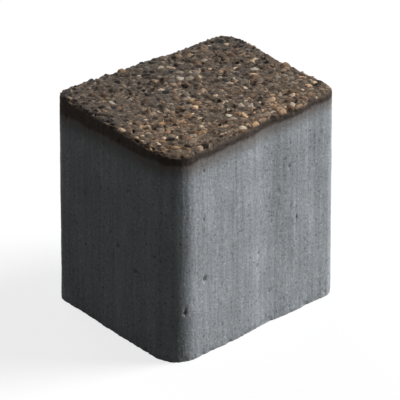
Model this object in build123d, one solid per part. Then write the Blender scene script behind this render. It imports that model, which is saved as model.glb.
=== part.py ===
"""One hewn-look concrete paving block, pressed in a single piece.

The block stands on its bed face with the wearing face up. Its footprint is an uneven
four-sided stone: the front is skewed, the left side is longer than the right, every side
swells and dips a little as if split with a hammer, the four upright corners are rounded
and the rim of the wearing face is eased. A seam round the sides marks where the brown
face mix meets the grey body. X runs along the front, Y towards the back and Z up. The
origin lies on the bed face, under the middle of the footprint's box.
"""
from build123d import *
from build123d.topology import SkipClean
import os

# Footprint in millimetres, between the sharp corners of the outline before rounding
FRONT_REACH = 80.0  # along X, from the front left corner to the front right one
FRONT_SKEW = 7.5  # how far back of the front left corner the front right one lies
LEFT_DEPTH = 68.5  # along Y, from the front left corner to the back left one
LEFT_LEAN = 2.5  # how far the left side leans to the right towards the back
RIGHT_DEPTH = 60.0  # along Y, from the front right corner to the back right one
RIGHT_LEAN = 0.5  # how far the right side leans to the right towards the back

# Upright sizes in millimetres
HEIGHT = 80.0  # from the bed face to the wearing face
FACE_MIX_DEPTH = 5.0  # thickness of the brown face mix
ARRIS_RADIUS = 2.0  # easing round the rim of the wearing face

# Radii of the upright corners in millimetres
FRONT_LEFT_RADIUS = 9.0
FRONT_RIGHT_RADIUS = 6.0
BACK_RIGHT_RADIUS = 7.0
BACK_LEFT_RADIUS = 6.0

# Points of each hewn side, as the share of its length and how far it stands out of its
# straight line there in millimetres. The front dips to one shallow valley past its middle.
FRONT_HEWN = (
    (0.125, 0.6), (0.25, 0.55), (0.375, 0.65), (0.44, 0.4), (0.5, -0.1),
    (0.56, -0.65), (0.62, -0.5), (0.69, -0.05), (0.78, -0.1), (0.88, -0.15),
)
RIGHT_HEWN = ((0.25, 0.5), (0.5, -0.2), (0.75, 0.6))
BACK_HEWN = ((0.17, 0.4), (0.33, -0.3), (0.5, 0.6), (0.67, 0.1), (0.83, 0.5))
LEFT_HEWN = ((0.25, 0.3), (0.5, 0.7), (0.75, 0.9))

front_left = Vector(0, 0)
front_right = Vector(FRONT_REACH, FRONT_SKEW)
back_right = front_right + Vector(RIGHT_LEAN, RIGHT_DEPTH)
back_left = front_left + Vector(LEFT_LEAN, LEFT_DEPTH)


def hewn_side(start, end, hewn):
    """A smooth curve from start to end through points set off the straight line."""
    along = end - start
    outward = Vector(along.Y, -along.X).normalized()
    knots = [start + along * share + outward * out for share, out in hewn]
    return Spline(start, *knots, end)


def round_corner(solid, corner, radius):
    """Round the upright edge that stands on the given corner of the footprint."""
    upright = solid.edges().filter_by(Axis.Z).sort_by_distance(corner)[0]
    return fillet(upright, radius)


def hewn_prism():
    """The block's full height on its hewn footprint, with rounded upright corners."""
    outline = Wire([
        hewn_side(front_left, front_right, FRONT_HEWN),
        hewn_side(front_right, back_right, RIGHT_HEWN),
        hewn_side(back_right, back_left, BACK_HEWN),
        hewn_side(back_left, front_left, LEFT_HEWN),
    ])
    prism = extrude(Face(outline), HEIGHT)
    prism = round_corner(prism, front_left, FRONT_LEFT_RADIUS)
    prism = round_corner(prism, front_right, FRONT_RIGHT_RADIUS)
    prism = round_corner(prism, back_right, BACK_RIGHT_RADIUS)
    return round_corner(prism, back_left, BACK_LEFT_RADIUS)


def ease_rim(solid):
    """Round the edge between the wearing face and the sides."""
    wearing_face = solid.faces().sort_by(Axis.Z)[-1]
    return fillet(wearing_face.edges(), ARRIS_RADIUS)


def mark_face_mix(solid):
    """Leave a seam on the sides at the foot of the face mix, in one solid."""
    seam_plane = Plane.XY.offset(HEIGHT - FACE_MIX_DEPTH)
    body = split(solid, bisect_by=seam_plane, keep=Keep.BOTTOM)
    face_mix = split(solid, bisect_by=seam_plane, keep=Keep.TOP)
    with SkipClean():
        return body.solid().fuse(face_mix.solid()).solid()


def centred(solid):
    """Move the block so that the origin lies under the middle of its footprint's box."""
    middle = solid.bounding_box().center()
    return Pos(-middle.X, -middle.Y, 0) * solid


paving_block = centred(mark_face_mix(ease_rim(hewn_prism())))

os.makedirs("parts", exist_ok=True)
export_step(paving_block, "parts/paving_block.step")
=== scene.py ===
# %% [markdown]
# # A hewn-look paving block
#
# The block is one pressed piece of concrete: a grey body with a thin brown face mix on
# top. The face was roughened after pressing, so grains of stone stand out of it, and the
# sides keep the fine upright drag marks of the mould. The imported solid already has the
# uneven footprint, the rounded corners and the eased rim. This lesson puts the rough
# skin and the colours of the real block on that shape.

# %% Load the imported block
import math

import bpy
import numpy as np
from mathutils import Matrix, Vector


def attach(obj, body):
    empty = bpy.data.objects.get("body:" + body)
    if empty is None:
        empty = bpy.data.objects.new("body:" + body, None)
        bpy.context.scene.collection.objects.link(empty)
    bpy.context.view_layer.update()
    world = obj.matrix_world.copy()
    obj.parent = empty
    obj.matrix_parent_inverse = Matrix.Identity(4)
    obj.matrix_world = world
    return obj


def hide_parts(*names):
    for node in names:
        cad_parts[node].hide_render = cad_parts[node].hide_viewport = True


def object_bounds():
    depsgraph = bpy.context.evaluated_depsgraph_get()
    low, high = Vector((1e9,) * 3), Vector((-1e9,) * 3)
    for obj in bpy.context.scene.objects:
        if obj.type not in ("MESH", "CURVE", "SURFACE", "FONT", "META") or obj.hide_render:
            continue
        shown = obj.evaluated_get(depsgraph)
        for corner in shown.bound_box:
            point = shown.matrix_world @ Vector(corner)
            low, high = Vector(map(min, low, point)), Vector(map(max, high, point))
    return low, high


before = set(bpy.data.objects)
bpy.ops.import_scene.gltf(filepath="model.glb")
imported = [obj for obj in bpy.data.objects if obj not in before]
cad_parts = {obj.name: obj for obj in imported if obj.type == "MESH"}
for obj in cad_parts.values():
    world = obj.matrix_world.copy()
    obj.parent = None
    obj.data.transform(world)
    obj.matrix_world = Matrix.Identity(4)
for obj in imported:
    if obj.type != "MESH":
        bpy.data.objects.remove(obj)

cad_low, cad_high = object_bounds()
MM = 0.001
NODE = "paving_block"
HEIGHT = cad_high.z - cad_low.z
print("packed block in mm:", [round(side / MM, 1) for side in cad_high - cad_low])

# %% [markdown]
# ## The footprint
#
# The edge of the bed face is the block's outline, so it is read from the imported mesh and
# not written down twice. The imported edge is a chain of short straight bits. Light that
# grazes the side would show each bit as a facet, so a smooth curve is laid through the
# points before new columns are spaced along it.

# %% Read the edge of the bed face
ON_BED = 0.001 * MM
SAME_PLACE = 0.05 * MM
DECIMALS = 7


def bed_edge(node):
    """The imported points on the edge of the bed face, in order round the block.

    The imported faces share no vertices, so each point comes more than once. Points that
    lie closer than the width of a hair count as one.
    """
    mesh = node.data
    places = np.empty(len(mesh.vertices) * 3, np.float32)
    mesh.vertices.foreach_get("co", places)
    places = places.reshape(-1, 3).astype(float)
    ring = np.unique(np.round(places[places[:, 2] < ON_BED, :2], DECIMALS), axis=0)
    ring = ring[np.argsort(np.arctan2(ring[:, 1], ring[:, 0]))]
    step = np.linalg.norm(ring - np.roll(ring, 1, axis=0), axis=1)
    return ring[step > SAME_PLACE]


packed_edge = bed_edge(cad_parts[NODE])
print("points on the packed edge:", len(packed_edge))

# %% Lay a smooth closed curve through the edge
DENSE = 8192


def smooth_loop(ring):
    """A dense closed curve through a ring of points.

    Each gap is a cubic Hermite piece. The slope at a point is that of the parabola
    through it and its two neighbours, so long and short gaps can stand side by side.
    """
    step = np.roll(ring, -1, axis=0) - ring
    gap = np.linalg.norm(step, axis=1)[:, None]
    slope = step / gap
    gap_before = np.roll(gap, 1, axis=0)
    slope_before = np.roll(slope, 1, axis=0)
    tangent = (slope * gap_before + slope_before * gap) / (gap + gap_before)
    start = np.concatenate([[0.0], np.cumsum(gap[:, 0])])
    along = np.linspace(0.0, start[-1], DENSE, endpoint=False)
    here = np.searchsorted(start, along, side="right") - 1
    after = (here + 1) % len(ring)
    t = ((along - start[here]) / gap[here, 0])[:, None]
    leave = ring[here] * (2 * t**3 - 3 * t**2 + 1) + tangent[here] * gap[here] * (t**3 - 2 * t**2 + t)
    arrive = ring[after] * (3 * t**2 - 2 * t**3) + tangent[after] * gap[here] * (t**3 - t**2)
    return leave + arrive


outline = smooth_loop(packed_edge)
print("outline length in mm:", round(np.linalg.norm(np.diff(outline, axis=0), axis=1).sum() / MM, 1))

# %% Space columns along the four sides
FRONT_CELLS = 184
SIDE_CELLS = 150


def corner_turns(curve):
    """Places on the curve of the front left, front right, back right and back left corners."""
    x, y = (curve / np.abs(curve).max(axis=0)).T
    return [np.argmin(x + y), np.argmax(x - y), np.argmax(x + y), np.argmin(x - y)]


def spaced_columns(curve):
    """Points round the block from the front left corner, evenly spaced on each side."""
    curve = np.roll(curve, -corner_turns(curve)[0], axis=0)
    stops = [0, *corner_turns(curve)[1:], len(curve)]
    cells = [FRONT_CELLS, SIDE_CELLS, FRONT_CELLS, SIDE_CELLS]
    spots = [np.linspace(a, b, n, endpoint=False) for a, b, n in zip(stops, stops[1:], cells)]
    places = np.concatenate(spots)
    x, y = (np.interp(places, np.arange(len(curve)), axis, period=len(curve)) for axis in curve.T)
    return np.stack([x, y], axis=1)


def outward(ring):
    """Unit normals that point out of a ring that runs anticlockwise."""
    run = np.roll(ring, -1, axis=0) - np.roll(ring, 1, axis=0)
    run /= np.linalg.norm(run, axis=1)[:, None]
    return np.stack([run[:, 1], -run[:, 0]], axis=1)


columns = spaced_columns(outline)
columns_out = outward(columns)
COLUMNS = len(columns)
print("columns round the block:", COLUMNS)

# %% [markdown]
# ## Patterns that the mesh and the finish share
#
# A grain of stone has a height, which belongs to the mesh, and a colour, which belongs to
# the material, and the two have to lie in the same place. Blender's texture nodes work in
# Geometry Nodes as well as in materials. So each pattern is one function that adds nodes
# to any node tree. A throwaway Geometry Nodes tree reads it at every vertex for the mesh,
# and the material later calls the same function for the colour.

# %% Node helpers
def feed(tree, socket, value):
    """Link a socket to another, or set it where the value is a plain number or colour."""
    if isinstance(value, bpy.types.NodeSocket):
        tree.links.new(value, socket)
    else:
        socket.default_value = value


def maths(tree, operation, first, second=0.0):
    """One arithmetic step on two numbers."""
    node = tree.nodes.new("ShaderNodeMath")
    node.operation = operation
    feed(tree, node.inputs[0], first)
    feed(tree, node.inputs[1], second)
    return node.outputs[0]


def vector_maths(tree, operation, first, second):
    """One arithmetic step on two vectors."""
    node = tree.nodes.new("ShaderNodeVectorMath")
    node.operation = operation
    feed(tree, node.inputs[0], first)
    feed(tree, node.inputs[1], second)
    return node.outputs[0]


def noise(tree, point, size, detail=2.0, output="Fac"):
    """Soft random clouds, with blobs of about the given size in metres."""
    node = tree.nodes.new("ShaderNodeTexNoise")
    feed(tree, node.inputs["Vector"], point)
    node.inputs["Scale"].default_value = 1.0 / size
    node.inputs["Detail"].default_value = detail
    return node.outputs[output]


def scattered(tree, point, spacing, feature="F1"):
    """Blender's cell pattern, with one cell to each spacing."""
    node = tree.nodes.new("ShaderNodeTexVoronoi")
    node.feature = feature
    feed(tree, node.inputs["Vector"], point)
    node.inputs["Scale"].default_value = 1.0 / spacing
    return node.outputs


def parted(tree, vector):
    """The three numbers of a vector or colour."""
    node = tree.nodes.new("ShaderNodeSeparateXYZ")
    tree.links.new(vector, node.inputs[0])
    return node.outputs


# %% Helpers for grains
MANY_TURNS = 50.0
CUT_SLOPE = 2.4
CUT_GAP = 0.12


def swing(tree, number):
    """Turn one random number into another, from -1 to 1: the sine of a great many turns."""
    return maths(tree, "SINE", maths(tree, "MULTIPLY", number, MANY_TURNS))


def grains(tree, point, spacing, least, spread):
    """Scattered round grains: three random numbers for each, then a depth and a lean.

    The depth is 1 at the grain's middle, 0 at its edge and negative outside. The radius
    is a share of the spacing: the least one, plus a random part of the spread, which the
    third number sets. The lean is the level distance from the middle, along a course
    that is the grain's own, so a slope times the lean tilts the grain.
    """
    cell = scattered(tree, point, spacing)
    tone, pick, girth = parted(tree, cell["Color"])
    radius = maths(tree, "ADD", maths(tree, "MULTIPLY", girth, spread), least)
    depth = maths(tree, "SUBTRACT", 1.0, maths(tree, "DIVIDE", cell["Distance"], radius))
    away = parted(tree, vector_maths(tree, "SUBTRACT", point, cell["Position"]))
    lean_x = maths(tree, "MULTIPLY", away["X"], swing(tree, tone))
    lean_y = maths(tree, "MULTIPLY", away["Y"], swing(tree, girth))
    return tone, pick, girth, depth, maths(tree, "ADD", lean_x, lean_y)


def crushed(tree, point, spacing, depth):
    """Cut round grains flat where they meet, so they look like crushed stone.

    The depth is the lesser of the round one and a slope that falls to 0 just inside the
    border between two cells.
    """
    border = scattered(tree, point, spacing, "DISTANCE_TO_EDGE")["Distance"]
    slope = maths(tree, "SUBTRACT", maths(tree, "MULTIPLY", border, CUT_SLOPE), CUT_GAP)
    return maths(tree, "MINIMUM", depth, slope)


# %% The patterns of the casting
NOISE_MIDDLE = 0.5
RAG = 2.0 * MM
RAG_REACH = (1.3 * MM, 1.3 * MM, 0.4 * MM)
STONE = 2.75 * MM
CHIP = 1.75 * MM
GRIT = 1.1 * MM
BLOW_HOLE = 5.0 * MM
DRAG = 1.6 * MM
DRAG_STRETCH = (1.0, 1.0, 0.045)
SAND = 0.8 * MM
CLOUD = 3.0 * MM
SWELL = 16.0 * MM

# Spacing of each size of grain, with the least radius and its spread as shares of it
GRAINS = {
    "stone": (STONE, 0.48, 0.34),
    "chip": (CHIP, 0.46, 0.32),
    "grit": (GRIT, 0.40, 0.26),
    "hole": (BLOW_HOLE, 0.05, 0.20),
}
STONE_SHARE = 0.48
STONE_RUT = -0.15


def clear_of_stones(tree, point):
    """1 where a point lies in the paste between the stones, and 0 in a stone or its rut."""
    _, pick, _, depth, _ = grains(tree, point, *GRAINS["stone"])
    depth = crushed(tree, point, STONE, depth)
    covered = maths(tree, "GREATER_THAN", depth, STONE_RUT)
    is_stone = maths(tree, "LESS_THAN", pick, STONE_SHARE)
    return maths(tree, "SUBTRACT", 1.0, maths(tree, "MULTIPLY", covered, is_stone))


def casting_patterns(tree, point):
    """Every pattern of the block's skin at a point, as a table of named sockets.

    The grains are looked up at a point that a noise pushes about, mostly level, so their
    edges are ragged and not round. A chip is there only where its middle is clear of the
    stones, because two grains can't fill one place.
    """
    found = {}
    stir = noise(tree, point, RAG, detail=1.0, output="Color")
    push = vector_maths(tree, "SUBTRACT", stir, (NOISE_MIDDLE,) * 3)
    ragged = vector_maths(tree, "ADD", point, vector_maths(tree, "MULTIPLY", push, RAG_REACH))
    for name, grain in GRAINS.items():
        keys = (name + end for end in ("_tone", "_pick", "_girth", "_depth", "_lean"))
        found.update(zip(keys, grains(tree, ragged, *grain)))
    found["stone_depth"] = crushed(tree, ragged, STONE, found["stone_depth"])
    found["chip_depth"] = crushed(tree, ragged, CHIP, found["chip_depth"])
    chip_middle = scattered(tree, ragged, CHIP)["Position"]
    found["chip_clear"] = clear_of_stones(tree, chip_middle)
    found["drag"] = noise(tree, vector_maths(tree, "MULTIPLY", point, DRAG_STRETCH), DRAG, detail=3.0)
    found["sand"] = noise(tree, point, SAND, detail=3.0)
    found["cloud"] = noise(tree, point, CLOUD, detail=3.0)
    found["swell"] = noise(tree, point, SWELL, detail=1.0)
    return found


print("grain spacing in mm:", {name: round(grain[0] / MM, 2) for name, grain in GRAINS.items()})

# %% Read the patterns at points
def patterns_at(points):
    """The casting's patterns at an (n, 3) array of points, as a table of arrays."""
    mesh = bpy.data.meshes.new("probe")
    mesh.vertices.add(len(points))
    mesh.vertices.foreach_set("co", points.astype(np.float32).ravel())
    probe = bpy.data.objects.new("probe", mesh)
    bpy.context.scene.collection.objects.link(probe)
    tree = bpy.data.node_groups.new("probe", "GeometryNodeTree")
    for way in ("INPUT", "OUTPUT"):
        tree.interface.new_socket("Geometry", in_out=way, socket_type="NodeSocketGeometry")
    carried = tree.nodes.new("NodeGroupInput").outputs[0]
    sockets = casting_patterns(tree, tree.nodes.new("GeometryNodeInputPosition").outputs[0])
    for name, socket in sockets.items():
        store = tree.nodes.new("GeometryNodeStoreNamedAttribute")
        store.inputs["Name"].default_value = name
        tree.links.new(carried, store.inputs["Geometry"])
        tree.links.new(socket, store.inputs["Value"])
        carried = store.outputs["Geometry"]
    tree.links.new(carried, tree.nodes.new("NodeGroupOutput").inputs[0])
    probe.modifiers.new("read", "NODES").node_group = tree
    evaluated = probe.evaluated_get(bpy.context.evaluated_depsgraph_get()).data
    values = {name: np.empty(len(points), np.float32) for name in sockets}
    for name, array in values.items():
        evaluated.attributes[name].data.foreach_get("value", array)
    bpy.data.objects.remove(probe)
    bpy.data.meshes.remove(mesh)
    bpy.data.node_groups.remove(tree)
    return {name: array.astype(float) for name, array in values.items()}


rim_line = np.column_stack([columns, np.full(COLUMNS, HEIGHT)])
rim_patterns = patterns_at(rim_line)
print("patterns read along the rim:", ", ".join(rim_patterns))

# %% [markdown]
# ## The smooth shape
#
# The skin is three grids that share their edges. The sides are one grid that wraps round
# the block, with its last rows turning over the rim as a quarter circle. The wearing face
# is a patch stretched between the four runs of the rim. The bed face is a coarser patch,
# because it is seldom seen, and a band of triangles steps down to it. Remeshing the packed
# solid would give small faces too, but grids are quick to number and keep their rows level.

# %% Sides and rim
ARRIS = 2.0 * MM
ARRIS_WEAR = 1.0
SIDE_ROWS = 88
RIM_ROWS = 7
ROW_CROWDING = 0.25

rim_radius = ARRIS * (1.0 + ARRIS_WEAR * (rim_patterns["swell"] - NOISE_MIDDLE))


def crowded(count):
    """Shares from 0 to 1 that lie closer together at both ends, by a sine ripple."""
    even = np.linspace(0.0, 1.0, count + 1)
    return even - ROW_CROWDING * np.sin(2 * np.pi * even) / (2 * np.pi)


def wrap_sides():
    """Points and normals of the sides and rim, as (rows, columns, 3) arrays.

    The rows climb to the rim's foot, then turn inwards on a quarter circle.
    """
    turn = np.linspace(0.0, np.pi / 2, RIM_ROWS + 1)[1:, None]
    climb = crowded(SIDE_ROWS)[:, None] * (HEIGHT - rim_radius)
    over = HEIGHT - rim_radius * (1.0 - np.sin(turn))
    inset = np.concatenate([np.zeros_like(climb), rim_radius * (1.0 - np.cos(turn))])
    lean = np.concatenate([np.zeros((SIDE_ROWS + 1, 1)), turn])[:, :, None]
    flat = columns - inset[:, :, None] * columns_out
    points = np.concatenate([flat, np.concatenate([climb, over])[:, :, None]], axis=2)
    upwards = np.broadcast_to(np.sin(lean), (len(lean), COLUMNS, 1))
    return points, np.concatenate([np.cos(lean) * columns_out, upwards], axis=2)


side_points, side_normals = wrap_sides()
ROWS = len(side_points)
print("side grid:", ROWS, "rows of", COLUMNS)

# %% Grids inside a ring
def ring_on_grid(ring, across, deep):
    """Lay a closed ring on the border of a grid of (deep + 1) rows of (across + 1)."""
    grid = np.zeros((deep + 1, across + 1, *ring.shape[1:]), ring.dtype)
    closed = np.concatenate([ring, ring[:1]])
    grid[0, :] = closed[:across + 1]
    grid[:, -1] = closed[across:across + deep + 1]
    grid[-1, :] = closed[across + deep:2 * across + deep + 1][::-1]
    grid[:, 0] = closed[2 * across + deep:][::-1]
    return grid


def stretched_patch(ring, across, deep):
    """A patch of points stretched over a ring: two ruled surfaces less the corners' own."""
    border = ring_on_grid(ring, across, deep)
    u = np.linspace(0.0, 1.0, across + 1)[None, :, None]
    v = np.linspace(0.0, 1.0, deep + 1)[:, None, None]
    front_back = (1 - v) * border[:1] + v * border[-1:]
    left_right = (1 - u) * border[:, :1] + u * border[:, -1:]
    front_corners = (1 - u) * border[0, 0] + u * border[0, -1]
    back_corners = (1 - u) * border[-1, 0] + u * border[-1, -1]
    return front_back + left_right - (1 - v) * front_corners - v * back_corners


def patch_numbers(ring_numbers, first_free, across, deep):
    """Vertex numbers of a patch: the ring's own on its border and new ones inside."""
    numbers = ring_on_grid(ring_numbers, across, deep)
    inside = (deep - 1) * (across - 1)
    numbers[1:-1, 1:-1] = first_free + np.arange(inside).reshape(deep - 1, across - 1)
    return numbers


# %% Wearing face and bed face
BED_MARGIN = 1.2 * MM
BED_ACROSS = FRONT_CELLS // 2
BED_DEEP = SIDE_CELLS // 2

side_numbers = np.arange(ROWS * COLUMNS).reshape(ROWS, COLUMNS)
top_numbers = patch_numbers(side_numbers[-1], side_numbers.size, FRONT_CELLS, SIDE_CELLS)
top_inside = stretched_patch(side_points[-1], FRONT_CELLS, SIDE_CELLS)[1:-1, 1:-1].reshape(-1, 3)

bed_ring = side_points[0, ::2] - BED_MARGIN * side_normals[0, ::2]
bed_ring_numbers = top_numbers.max() + 1 + np.arange(len(bed_ring))
bed_numbers = patch_numbers(bed_ring_numbers, bed_ring_numbers[-1] + 1, BED_ACROSS, BED_DEEP)
bed_inside = stretched_patch(bed_ring, BED_ACROSS, BED_DEEP)[1:-1, 1:-1].reshape(-1, 3)

UP = np.array([0.0, 0.0, 1.0])
rest = np.concatenate([side_points.reshape(-1, 3), top_inside, bed_ring, bed_inside])
top_normals = np.broadcast_to(UP, top_inside.shape)
bed_normals = np.broadcast_to(-UP, (len(bed_ring) + len(bed_inside), 3))
normals = np.concatenate([side_normals.reshape(-1, 3), top_normals, bed_normals])
print("vertices:", len(rest))

# %% [markdown]
# ## The rough skin
#
# Roughening takes paste from between the grains of the face, so each stone and each
# smaller chip stands up by its own amount, tilted its own way, and where a stone fell out
# it leaves a pit. The sides came out of the mould, so they carry shallow upright drag
# marks, a sandy grain and a few blow holes where air was trapped. The lower edge crumbles
# a little. A Displace modifier could raise one pattern, but here each kind of grain has a
# rule of its own. So all of it is a height along the smooth normal, worked out in numpy
# for every vertex at once.

# %% Heights of the rough face
STONE_LOW = 0.15 * MM
STONE_SPREAD = 0.45 * MM
STONE_CROWN = 0.30 * MM
STONE_TILT = 0.26
PIT_SHARE = 0.14
PIT_DEPTH = 0.70 * MM
CHIP_SHARE = 0.80
CHIP_LOW = 0.12 * MM
CHIP_SPREAD = 0.36 * MM
CHIP_TILT = 0.30
GRIT_RISE = 0.18 * MM
FACE_SAND = 0.28 * MM
FACE_SWELL = 0.7 * MM
FACE_DROP = 0.42 * MM

# Depths in a grain at which its flank, its crown or the bare paste round it starts and ends
STONE_FLANK = (-0.08, 0.30)
STONE_ROUND = (0.0, 0.9)
STONE_HALO = (-0.35, -0.10)
PIT_FLANK = (-0.05, 0.5)
CHIP_FLANK = (-0.08, 0.45)
GRIT_FLANK = (-0.05, 0.6)


def smooth_step(low, high, value):
    """0 below low, 1 above high, and an S-curve between them."""
    t = np.clip((value - low) / (high - low), 0.0, 1.0)
    return t * t * (3.0 - 2.0 * t)


skin = patterns_at(rest)
is_stone = skin["stone_pick"] < STONE_SHARE
stone_top = STONE_LOW + STONE_SPREAD * skin["stone_girth"] + STONE_TILT * skin["stone_lean"]
stone_top = stone_top + STONE_CROWN * smooth_step(*STONE_ROUND, skin["stone_depth"])
stone_height = is_stone * smooth_step(*STONE_FLANK, skin["stone_depth"]) * stone_top
pit_there = (skin["stone_pick"] > 1.0 - PIT_SHARE) * smooth_step(*PIT_FLANK, skin["stone_depth"])
near_stone = is_stone * smooth_step(*STONE_HALO, skin["stone_depth"])
open_paste = 1.0 - np.maximum(near_stone, pit_there)
is_chip = skin["chip_clear"] * (skin["chip_pick"] < CHIP_SHARE)
chip_there = open_paste * is_chip * smooth_step(*CHIP_FLANK, skin["chip_depth"])
chip_height = chip_there * (CHIP_LOW + CHIP_SPREAD * skin["chip_girth"] + CHIP_TILT * skin["chip_lean"])
grit_height = (open_paste - chip_there) * GRIT_RISE * smooth_step(*GRIT_FLANK, skin["grit_depth"])
face_sand = FACE_SAND * (skin["sand"] - NOISE_MIDDLE)
face_swell = FACE_SWELL * (skin["swell"] - NOISE_MIDDLE)
grain_height = stone_height + chip_height + grit_height - PIT_DEPTH * pit_there
face_height = grain_height + face_sand + face_swell - FACE_DROP
print("rough face relief in mm:", np.round(np.percentile(face_height, [1, 50, 99]) / MM, 2))

# %% Heights of the moulded sides
DRAG_DEPTH = 0.22 * MM
SAND_DEPTH = 0.22 * MM
SIDE_SWELL = 0.45 * MM
HOLE_SHARE = 0.30
HOLE_DEPTH = 0.9 * MM
HOLE_SHALLOWEST = 0.35
HOLE_FLANK = (0.0, 0.55)
HOLE_CLEAR = 3.5 * MM
OPEN_FOOT = 9.0 * MM
FOOT_HOLES = 0.8
CRUMBLE_RISE = 2.2 * MM
CRUMBLE_DEPTH = 1.6 * MM
CRUMBLE_FROM = 0.42

rise = rest[:, 2]
foot = 1.0 - smooth_step(0.0, OPEN_FOOT, rise)
is_hole = skin["hole_pick"] < HOLE_SHARE * (1.0 + FOOT_HOLES * foot)
hole_bowl = is_hole * smooth_step(*HOLE_FLANK, skin["hole_depth"]) * smooth_step(0.0, HOLE_CLEAR, rise)
hole_height = -HOLE_DEPTH * hole_bowl * (HOLE_SHALLOWEST + (1.0 - HOLE_SHALLOWEST) * skin["hole_tone"])
drag_height = DRAG_DEPTH * (skin["drag"] - NOISE_MIDDLE)
sand_height = SAND_DEPTH * (skin["sand"] - NOISE_MIDDLE) * (1.0 + foot)
side_swell = SIDE_SWELL * (skin["swell"] - NOISE_MIDDLE)
crumbs = np.clip(skin["cloud"] - CRUMBLE_FROM, 0.0, 1.0)
crumble = (1.0 - smooth_step(0.0, CRUMBLE_RISE, rise)) * crumbs
side_height = drag_height + sand_height + side_swell + hole_height - CRUMBLE_DEPTH * crumble
print("side relief in mm:", np.round(np.percentile(side_height, [1, 50, 99]) / MM, 2))

# %% Put the skin on the shape
BED_ROUGH = 0.6 * MM
BED_FROM = 0.45
LOOKS_UP = (0.15, 0.7)

exposed = smooth_step(*LOOKS_UP, normals[:, 2])
on_bed = normals[:, 2] < 0.0
bed_height = -BED_ROUGH * np.clip(skin["cloud"] - BED_FROM, 0.0, 1.0)
height = np.where(on_bed, bed_height, exposed * face_height + (1.0 - exposed) * side_height)
skinned = rest + normals * height[:, None]
skinned[:, 2] = np.maximum(skinned[:, 2], 0.0)
print("skin from", round(height.min() / MM, 2), "to", round(height.max() / MM, 2), "mm")

# %% [markdown]
# ## One closed mesh
#
# Three joined objects would leave seams, so the grids share the vertices of their borders.
# The vertices are numbered grid by grid, every face is a row of vertex numbers, and the
# whole mesh goes into Blender as flat arrays. The place of each vertex before the skin was
# put on is kept as an attribute, so that the material finds the same grains and holes.

# %% Faces of the whole skin
def grid_quads(index):
    """Four-sided faces of a grid of vertex numbers, anticlockwise on the page."""
    quads = [index[:-1, :-1], index[:-1, 1:], index[1:, 1:], index[1:, :-1]]
    return np.stack(quads, axis=-1).reshape(-1, 4)


around = np.concatenate([side_numbers, side_numbers[:, :1]], axis=1)
bed_quads = grid_quads(bed_numbers)[:, ::-1]
quads = np.concatenate([grid_quads(around), grid_quads(top_numbers), bed_quads])

edge_even = side_numbers[0, ::2]
edge_odd = side_numbers[0, 1::2]
edge_next = np.roll(edge_even, -1)
bed_next = np.roll(bed_ring_numbers, -1)
step_down = np.concatenate([
    np.stack([edge_odd, edge_even, bed_ring_numbers], axis=1),
    np.stack([edge_next, edge_odd, bed_next], axis=1),
    np.stack([edge_odd, bed_ring_numbers, bed_next], axis=1),
])
print("triangles:", 2 * len(quads) + len(step_down))

# %% The mesh and its attributes
SHARP_EDGE = math.radians(60.0)


def mesh_from_arrays(name, points, four_sided, three_sided):
    """A smooth-shaded mesh from a point array and two arrays of faces."""
    corners = np.concatenate([four_sided.ravel(), three_sided.ravel()]).astype(np.int32)
    sizes = np.repeat([4, 3], [len(four_sided), len(three_sided)])
    starts = np.concatenate([[0], np.cumsum(sizes)[:-1]]).astype(np.int32)
    mesh = bpy.data.meshes.new(name)
    mesh.vertices.add(len(points))
    mesh.loops.add(len(corners))
    mesh.polygons.add(len(sizes))
    mesh.vertices.foreach_set("co", points.astype(np.float32).ravel())
    mesh.loops.foreach_set("vertex_index", corners)
    mesh.polygons.foreach_set("loop_start", starts)
    mesh.update(calc_edges=True)
    mesh.shade_smooth()
    mesh.set_sharp_from_angle(angle=SHARP_EDGE)
    return mesh


def keep_values(mesh, name, kind, values):
    """Store an array on the mesh's vertices as a named attribute."""
    attribute = mesh.attributes.new(name, kind, "POINT")
    key = "vector" if kind == "FLOAT_VECTOR" else "value"
    attribute.data.foreach_set(key, values.astype(np.float32).ravel())


block_mesh = mesh_from_arrays("cast_block", skinned, quads, step_down)
keep_values(block_mesh, "cast_point", "FLOAT_VECTOR", rest)
keep_values(block_mesh, "exposed", "FLOAT", exposed)
print("mesh is sound:", not block_mesh.validate(verbose=False))

cast_block = bpy.data.objects.new("cast_block", block_mesh)
bpy.context.scene.collection.objects.link(cast_block)
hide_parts(NODE)
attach(cast_block, "root")

# %% [markdown]
# ## The finish
#
# One material covers the block, because the two mixes set into one piece. It works out
# three colours and lays them over each other: the grey body, the dark paste of the face
# mix where the mould kept it whole, and the rough face with its stones. A picture of
# concrete would be quicker, but its stones would not lie on the stones of the mesh.

# %% Colour helpers
WHITE = (1.0, 1.0, 1.0, 1.0)


def attribute(tree, name, output):
    """A vertex attribute of the piece as a socket."""
    node = tree.nodes.new("ShaderNodeAttribute")
    node.attribute_name = name
    return node.outputs[output]


def eased(tree, value, low, high, to_low=0.0, to_high=1.0):
    """Map a number from one range to another on an S-curve."""
    node = tree.nodes.new("ShaderNodeMapRange")
    node.interpolation_type = "SMOOTHSTEP"
    for socket, given in zip(node.inputs, (value, low, high, to_low, to_high)):
        feed(tree, socket, given)
    return node.outputs[0]


def layered(tree, share, under, over, mode="MIX"):
    """Lay one colour over another by a share."""
    node = tree.nodes.new("ShaderNodeMix")
    node.data_type = "RGBA"
    node.blend_type = mode
    feed(tree, node.inputs["Factor"], share)
    feed(tree, node.inputs[6], under)
    feed(tree, node.inputs[7], over)
    return node.outputs[2]


def shaded(tree, colour, *shares):
    """Darken or lighten a colour by one or more shares in turn."""
    for share in shares:
        colour = layered(tree, 1.0, colour, share, "MULTIPLY")
    return colour


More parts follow.
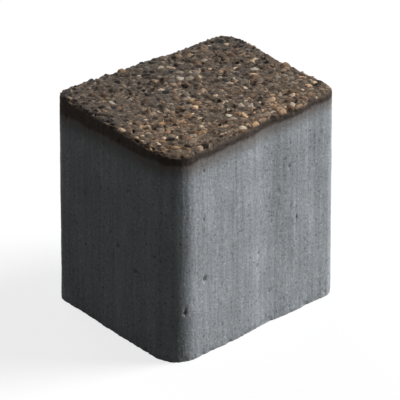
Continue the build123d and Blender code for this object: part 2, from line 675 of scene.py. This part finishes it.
def palette(tree, value, stops):
    """Turn a number into a colour by a row of (place, colour) stops."""
    node = tree.nodes.new("ShaderNodeValToRGB")
    ramp = node.color_ramp
    while len(ramp.elements) < len(stops):
        ramp.elements.new(1.0)
    for element, (place, colour) in zip(ramp.elements, stops):
        element.position = place
        element.color = (*colour, 1.0)
    feed(tree, node.inputs[0], value)
    return node.outputs[0]


# %% [markdown]
# ### The rough face
#
# The face mix is brown paste with crushed stone of many shades in it: mostly brown, some
# near black, and a few pale tan ones, which gather to the front right. Stones lie over
# chips, chips over grit and grit over paste, each by the reach of its own pattern. Broad
# patches run from grey at the back to golden brown at the front, as when two shades of mix
# are filled together.

# %% Colours of the rough face
STONE_COLOURS = [
    (0.00, (0.014, 0.012, 0.011)),
    (0.22, (0.042, 0.033, 0.027)),
    (0.48, (0.106, 0.079, 0.059)),
    (0.74, (0.182, 0.136, 0.098)),
    (0.92, (0.290, 0.227, 0.165)),
    (1.00, (0.450, 0.372, 0.280)),
]
STONE_HUES = [
    (0.0, (0.92, 1.00, 1.08)),
    (0.4, (1.00, 1.00, 1.00)),
    (1.0, (1.17, 0.96, 0.78)),
]
PALE_TO_RIGHT = 1.0
PALE_TO_FRONT = 1.2
# Painted shade in the rut round each stone and chip: the share of colour left there
PAINTED_RUT_SHADE = 0.84
# Painted shade on the floor of each hollow where a stone fell out
PAINTED_PIT_SHADE = 0.50
GRIT_COLOURS = [
    (0.0, (0.034, 0.027, 0.022)),
    (0.5, (0.101, 0.075, 0.055)),
    (1.0, (0.213, 0.163, 0.118)),
]
PASTE_COLOURS = [
    (0.3, (0.054, 0.042, 0.032)),
    (0.7, (0.118, 0.088, 0.064)),
]
PATCH_COLOURS = [
    (0.25, (0.92, 1.00, 1.11)),
    (0.50, (1.05, 1.06, 1.08)),
    (0.75, (1.23, 1.18, 1.14)),
]
PATCH = 26.0 * MM
PATCH_DRIFT = -8.0
SAND_SPAN = (0.3, 0.7)
SPECKLE = (0.84, 1.16)

# Depths in a grain at which the painted shade of its rut starts, and at which its colour
# or the painted shade of a hollow is full
RUT_START = -0.35
GRAIN_FULL = 0.12
GRIT_FULL = 0.25
PIT_FULL = 0.4


def patch_shade(tree, point, place):
    """Grey to golden patches: a noise plus a steady drift to the front."""
    drift = maths(tree, "MULTIPLY", place["Y"], PATCH_DRIFT)
    patch = maths(tree, "ADD", noise(tree, point, PATCH, detail=1.0), drift)
    return palette(tree, patch, PATCH_COLOURS)


def bedded(tree, place, found, size, there, colour):
    """Lay one size of grain in a colour: painted shade in the rut round it, then its tone and hue."""
    depth = found[size + "_depth"]
    # Painted shade: the paste in the rut round each grain is darkened
    rut = eased(tree, depth, RUT_START, 0.0, 1.0, PAINTED_RUT_SHADE)
    colour = shaded(tree, colour, maths(tree, "MAXIMUM", rut, maths(tree, "SUBTRACT", 1.0, there)))
    to_right = maths(tree, "MULTIPLY", place["X"], PALE_TO_RIGHT)
    to_front = maths(tree, "MULTIPLY", place["Y"], -PALE_TO_FRONT)
    tone = maths(tree, "ADD", found[size + "_tone"], maths(tree, "ADD", to_right, to_front))
    hue = palette(tree, found[size + "_girth"], STONE_HUES)
    grain = shaded(tree, palette(tree, tone, STONE_COLOURS), hue)
    grain_here = maths(tree, "MULTIPLY", eased(tree, depth, 0.0, GRAIN_FULL), there)
    return layered(tree, grain_here, colour, grain)


def rough_face(tree, point, place, found):
    """Stones, chips and grit on brown paste, tone patches, and painted shade where stones fell out."""
    colour = palette(tree, found["sand"], PASTE_COLOURS)
    grit_here = eased(tree, found["grit_depth"], 0.0, GRIT_FULL)
    colour = layered(tree, grit_here, colour, palette(tree, found["grit_tone"], GRIT_COLOURS))
    is_stone = maths(tree, "LESS_THAN", found["stone_pick"], STONE_SHARE)
    near_stone = maths(tree, "MULTIPLY", is_stone, eased(tree, found["stone_depth"], *STONE_HALO))
    chip_picked = maths(tree, "LESS_THAN", found["chip_pick"], CHIP_SHARE)
    is_chip = maths(tree, "MULTIPLY", found["chip_clear"], chip_picked)
    open_chip = maths(tree, "MULTIPLY", is_chip, maths(tree, "SUBTRACT", 1.0, near_stone))
    colour = bedded(tree, place, found, "chip", open_chip, colour)
    colour = bedded(tree, place, found, "stone", is_stone, colour)
    # Painted shade: the hollows where stones fell out are darkened
    no_pit = maths(tree, "LESS_THAN", found["stone_pick"], 1.0 - PIT_SHARE)
    pit_floor_painted_shade = eased(tree, found["stone_depth"], 0.0, PIT_FULL, 1.0, PAINTED_PIT_SHADE)
    pit_painted_shade = maths(tree, "MAXIMUM", pit_floor_painted_shade, no_pit)
    speckle = eased(tree, found["sand"], *SAND_SPAN, *SPECKLE)
    return shaded(tree, colour, pit_painted_shade, speckle, patch_shade(tree, point, place))


print("shades of stone, grit and paste:", len(STONE_COLOURS), len(GRIT_COLOURS), len(PASTE_COLOURS))

# %% [markdown]
# ### Sides
#
# Where the mould kept the face mix whole, it shows as a closed, dark band under the rim.
# Brown fines bled a few millimetres into the grey below it. The grey body is cement with
# sand in it, clouded and streaked by the mould, with pinholes and a few blow holes that are
# darkened by painted shade.
# Each pattern becomes a share near 1 that multiplies the grey, so the patterns add up as
# they do on the real side, and none of them hides another.

# %% Colours of the sides
BAND_COLOURS = [
    (0.30, (0.046, 0.037, 0.032)),
    (0.70, (0.104, 0.082, 0.068)),
]
BODY = (0.403, 0.432, 0.456, 1.0)
SAND_COLOURS = [
    (0.0, (0.66, 0.66, 0.67)),
    (0.3, (0.92, 0.92, 0.92)),
    (0.7, (1.06, 1.06, 1.05)),
    (1.0, (1.28, 1.25, 1.21)),
]
PINHOLE_SHARE = 0.12
PINHOLE_DEPTHS = (0.2, 1.0)
# Painted shade in pinholes and blow holes: the dark grey and how far towards it
HOLE_PAINTED_SHADE_COLOUR = (0.13, 0.13, 0.13, 1.0)
HOLE_PAINTED_SHADE_STRENGTH = 0.6
STAIN_COLOUR = (0.185, 0.155, 0.132, 1.0)
NOISE_SPAN = (0.25, 0.75)

# Shares of the colour at the low and the high end of a pattern
BAND_CHIPS = (0.75, 1.30)
BAND_FINES = (0.78, 1.22)
DRAG_SHARES = (0.88, 1.11)
SWELL_SHARES = (0.93, 1.07)
FINES_SHARES = (0.86, 1.14)

# Depths in a grain or hole at which its colour, or the painted shade of a hole, starts and is full
BAND_CHIP_FULL = 0.3
SAND_FULL = 0.4
PINHOLE_RIM = (0.20, 0.75)
HOLE_RIM = (0.05, 0.6)


def moulded_band(tree, found):
    """The face mix as the mould left it, closed and dark, with faint grains.

    The mean of the clouds and the drag marks picks its shade.
    """
    mixed = maths(tree, "MULTIPLY", maths(tree, "ADD", found["cloud"], found["drag"]), 0.5)
    chip_shade = eased(tree, found["chip_tone"], 0.0, 1.0, *BAND_CHIPS)
    chips = layered(tree, eased(tree, found["chip_depth"], 0.0, BAND_CHIP_FULL), WHITE, chip_shade)
    fines = eased(tree, found["sand"], *SAND_SPAN, *BAND_FINES)
    return shaded(tree, palette(tree, mixed, BAND_COLOURS), chips, fines)


def pinholes(tree, found):
    """How deep a point lies in the tiny pores that some grains of sand left, from 0 to 1."""
    is_pore = maths(tree, "GREATER_THAN", found["grit_pick"], 1.0 - PINHOLE_SHARE)
    deepest = maths(tree, "MULTIPLY", is_pore, eased(tree, found["grit_tone"], 0.0, 1.0, *PINHOLE_DEPTHS))
    return maths(tree, "MULTIPLY", deepest, eased(tree, found["grit_depth"], *PINHOLE_RIM))


def grey_body(tree, found):
    """Grey concrete: sand, drag marks, clouds, and painted shade in each pinhole and blow hole."""
    marks = eased(tree, found["drag"], *NOISE_SPAN, *DRAG_SHARES)
    clouds = eased(tree, found["swell"], *NOISE_SPAN, *SWELL_SHARES)
    fines = eased(tree, found["sand"], *NOISE_SPAN, *FINES_SHARES)
    sand_here = eased(tree, found["grit_depth"], 0.0, SAND_FULL)
    sand = layered(tree, sand_here, WHITE, palette(tree, found["grit_tone"], SAND_COLOURS))
    colour = shaded(tree, BODY, marks, clouds, fines, sand)
    # Painted shade: blow holes and pinholes are darkened towards a dark grey
    is_hole = maths(tree, "LESS_THAN", found["hole_pick"], HOLE_SHARE)
    blow_hole_painted_shade = maths(tree, "MULTIPLY", is_hole, eased(tree, found["hole_depth"], *HOLE_RIM))
    hole_painted_shade = maths(tree, "MAXIMUM", blow_hole_painted_shade, pinholes(tree, found))
    return layered(tree, maths(tree, "MULTIPLY", hole_painted_shade, HOLE_PAINTED_SHADE_STRENGTH), colour, HOLE_PAINTED_SHADE_COLOUR)


print("shades of the dark band and of the sand:", len(BAND_COLOURS), len(SAND_COLOURS))

# %% [markdown]
# ### One material
#
# The seam between the two mixes wanders a little and lies lower to the back left. Above
# it the band and the rough face share the place by how far the surface looks up. The
# shine is dull everywhere, as dry concrete scatters nearly all light, and a fine bump adds
# the sand that is too small for the mesh.

# %% The seam and the stain
FACE_MIX_DEPTH = 5.0 * MM
SEAM = HEIGHT - FACE_MIX_DEPTH
SEAM_CLOUD = 2.6 * MM
SEAM_SWELL = 3.2 * MM
SEAM_FALL_X = -0.015
SEAM_FALL_Y = 0.035
SEAM_FEATHER = 0.8 * MM
STAIN_DEPTH = 7.0 * MM
STAIN_FALL_X = 0.03
STAIN_MOST = 0.8


def above_seam(tree, place, found):
    """Height over the seam between the two mixes: a sloping plane that wanders."""
    wander = maths(tree, "MULTIPLY", maths(tree, "SUBTRACT", found["cloud"], NOISE_MIDDLE), SEAM_CLOUD)
    roll = maths(tree, "MULTIPLY", maths(tree, "SUBTRACT", found["swell"], NOISE_MIDDLE), SEAM_SWELL)
    fall_x = maths(tree, "MULTIPLY", place["X"], SEAM_FALL_X)
    fall_y = maths(tree, "MULTIPLY", place["Y"], SEAM_FALL_Y)
    shift = maths(tree, "ADD", maths(tree, "ADD", wander, roll), maths(tree, "ADD", fall_x, fall_y))
    return maths(tree, "SUBTRACT", maths(tree, "ADD", place["Z"], shift), SEAM)


def stained(tree, place, over):
    """Share of brown fines in the grey: most at the seam, and reaching deeper to the left."""
    reach = maths(tree, "SUBTRACT", maths(tree, "MULTIPLY", place["X"], STAIN_FALL_X), STAIN_DEPTH)
    return eased(tree, over, reach, 0.0, 0.0, STAIN_MOST)


print("seam height in mm:", round(SEAM / MM, 1))

# %% Bump, shine and the whole material
DULL_SPAN = (0.2, 0.8)
DULLNESS = (0.75, 0.95)
SHINE = 0.1
BUMP_STRENGTH = 0.6
BUMP_HEIGHT = 0.12 * MM
BUMP_SAND = 0.5


def fine_bump(tree, found):
    """A bump of sand grains less pinholes, which are too small for the mesh."""
    bump = tree.nodes.new("ShaderNodeBump")
    bump.inputs["Strength"].default_value = BUMP_STRENGTH
    bump.inputs["Distance"].default_value = BUMP_HEIGHT
    sand_tops = maths(tree, "MAXIMUM", found["grit_depth"], 0.0)
    sand_tops = maths(tree, "SUBTRACT", sand_tops, pinholes(tree, found))
    fine = maths(tree, "ADD", found["sand"], maths(tree, "MULTIPLY", sand_tops, BUMP_SAND))
    tree.links.new(fine, bump.inputs["Height"])
    return bump.outputs[0]


def block_material():
    """The block's one material: colours by zone, a dull shine and a fine bump."""
    material = bpy.data.materials.new("pressed_concrete")
    material.use_nodes = True
    tree = material.node_tree
    shader = tree.nodes["Principled BSDF"]
    point = attribute(tree, "cast_point", "Vector")
    place = parted(tree, point)
    found = casting_patterns(tree, point)
    over = above_seam(tree, place, found)
    body = layered(tree, stained(tree, place, over), grey_body(tree, found), STAIN_COLOUR)
    looks_up = attribute(tree, "exposed", "Fac")
    face = layered(tree, looks_up, moulded_band(tree, found), rough_face(tree, point, place, found))
    is_face = eased(tree, over, -SEAM_FEATHER, SEAM_FEATHER)
    tree.links.new(layered(tree, is_face, body, face), shader.inputs["Base Color"])
    tree.links.new(eased(tree, found["sand"], *DULL_SPAN, *DULLNESS), shader.inputs["Roughness"])
    tree.links.new(fine_bump(tree, found), shader.inputs["Normal"])
    shader.inputs["Specular IOR Level"].default_value = SHINE
    return material


block_mesh.materials.append(block_material())
print("nodes in the finish:", len(block_mesh.materials[0].node_tree.nodes))

# %% [markdown]
# ## Floor and light
#
# The light comes slanting from the right, so the right-hand face is bright and shows every
# swell of the hewn side, while the left-hand face lies in deep shade. The floor is white
# to the camera and keeps a pale shadow, but it throws back little light, so the shade on
# the block stays deep.

# %% Floor
FLOOR_REACH = 20.0
FLOOR_WHITE = (0.95, 0.95, 0.95, 1.0)
FLOOR_BOUNCE = (0.05, 0.05, 0.05, 1.0)
FLOOR_GLOW = 0.78


def seen_directly(tree):
    """1 for rays that show the stage to the eye, directly or in a shine, and 0 for light."""
    path = tree.nodes.new("ShaderNodeLightPath").outputs
    seen = maths(tree, "MAXIMUM", path["Is Camera Ray"], path["Is Glossy Ray"])
    return maths(tree, "MAXIMUM", seen, path["Is Transmission Ray"])


def floor_material():
    """A pale matt floor that keeps shadows and sends little light back up."""
    material = bpy.data.materials.new("pale_floor")
    material.use_nodes = True
    tree = material.node_tree
    tree.nodes.remove(tree.nodes["Principled BSDF"])
    seen = seen_directly(tree)
    matt = tree.nodes.new("ShaderNodeBsdfDiffuse")
    tree.links.new(layered(tree, seen, FLOOR_BOUNCE, FLOOR_WHITE), matt.inputs["Color"])
    glow = tree.nodes.new("ShaderNodeEmission")
    mix = tree.nodes.new("ShaderNodeMixShader")
    tree.links.new(maths(tree, "MULTIPLY", seen, FLOOR_GLOW), mix.inputs[0])
    tree.links.new(matt.outputs[0], mix.inputs[1])
    tree.links.new(glow.outputs[0], mix.inputs[2])
    tree.links.new(mix.outputs[0], tree.nodes["Material Output"].inputs[0])
    return material


floor_mesh = bpy.data.meshes.new("floor")
floor_corners = np.array([(-1, -1, 0), (1, -1, 0), (1, 1, 0), (-1, 1, 0)]) * FLOOR_REACH
floor_mesh.from_pydata(floor_corners.tolist(), [], [(0, 1, 2, 3)])
floor_mesh.materials.append(floor_material())
floor = bpy.data.objects.new("floor", floor_mesh)
bpy.context.scene.collection.objects.link(floor)
print("floor half width in m:", FLOOR_REACH)

# %% Lamps
KEY_STRENGTH = 4.27
KEY_TURN = -27.0
KEY_CLIMB = 40.5
KEY_SOFTNESS = 28.0
BACK_STRENGTH = 1.0
BACK_TURN = 75.0
BACK_CLIMB = 30.0
BACK_SOFTNESS = 40.0


def sun(name, strength, turn, climb, softness):
    """A far lamp, given by its turn from +X and its climb above the floor in degrees."""
    lamp = bpy.data.lights.new(name, "SUN")
    lamp.energy = strength
    lamp.angle = math.radians(softness)
    lamp_object = bpy.data.objects.new(name, lamp)
    flat, steep = math.radians(turn), math.radians(climb)
    towards = Vector((math.cos(flat) * math.cos(steep), math.sin(flat) * math.cos(steep), math.sin(steep)))
    lamp_object.rotation_euler = towards.to_track_quat("Z", "Y").to_euler()
    bpy.context.scene.collection.objects.link(lamp_object)


sun("key", KEY_STRENGTH, KEY_TURN, KEY_CLIMB, KEY_SOFTNESS)
sun("back", BACK_STRENGTH, BACK_TURN, BACK_CLIMB, BACK_SOFTNESS)
print("lamps:", [lamp.name for lamp in bpy.data.lights])

# %% Surroundings
SURROUND = (0.084, 0.084, 0.084, 1.0)

world = bpy.data.worlds.new("surround")
bpy.context.scene.world = world
world.use_nodes = True
sky = world.node_tree
sky.links.new(layered(sky, seen_directly(sky), SURROUND, WHITE), sky.nodes["Background"].inputs["Color"])
print("surround light:", SURROUND[0])

# %% [markdown]
# ## Camera
#
# The view shows no perspective, so the lens is very long and stands far back. It looks
# down at the front left corner, a little more onto the front than onto the left side.

# %% Camera
VIEW_TURN = math.radians(-39.8)
VIEW_CLIMB = math.radians(26.7)
LENS = 600.0
FRAME_HEIGHT = 0.140
AIM = Vector((0.0, 0.0, 0.0385))

camera_data = bpy.data.cameras.new("camera")
camera_data.lens = LENS
camera = bpy.data.objects.new("camera", camera_data)
bpy.context.scene.collection.objects.link(camera)
bpy.context.scene.camera = camera
level = math.cos(VIEW_CLIMB)
back = Vector((math.sin(VIEW_TURN) * level, -math.cos(VIEW_TURN) * level, math.sin(VIEW_CLIMB)))
distance = FRAME_HEIGHT * LENS / camera_data.sensor_width
camera.location = AIM + back * distance
camera.rotation_euler = back.to_track_quat("Z", "Y").to_euler()
bpy.context.scene.view_settings.view_transform = "Standard"
print("camera distance in m:", round(distance, 2))
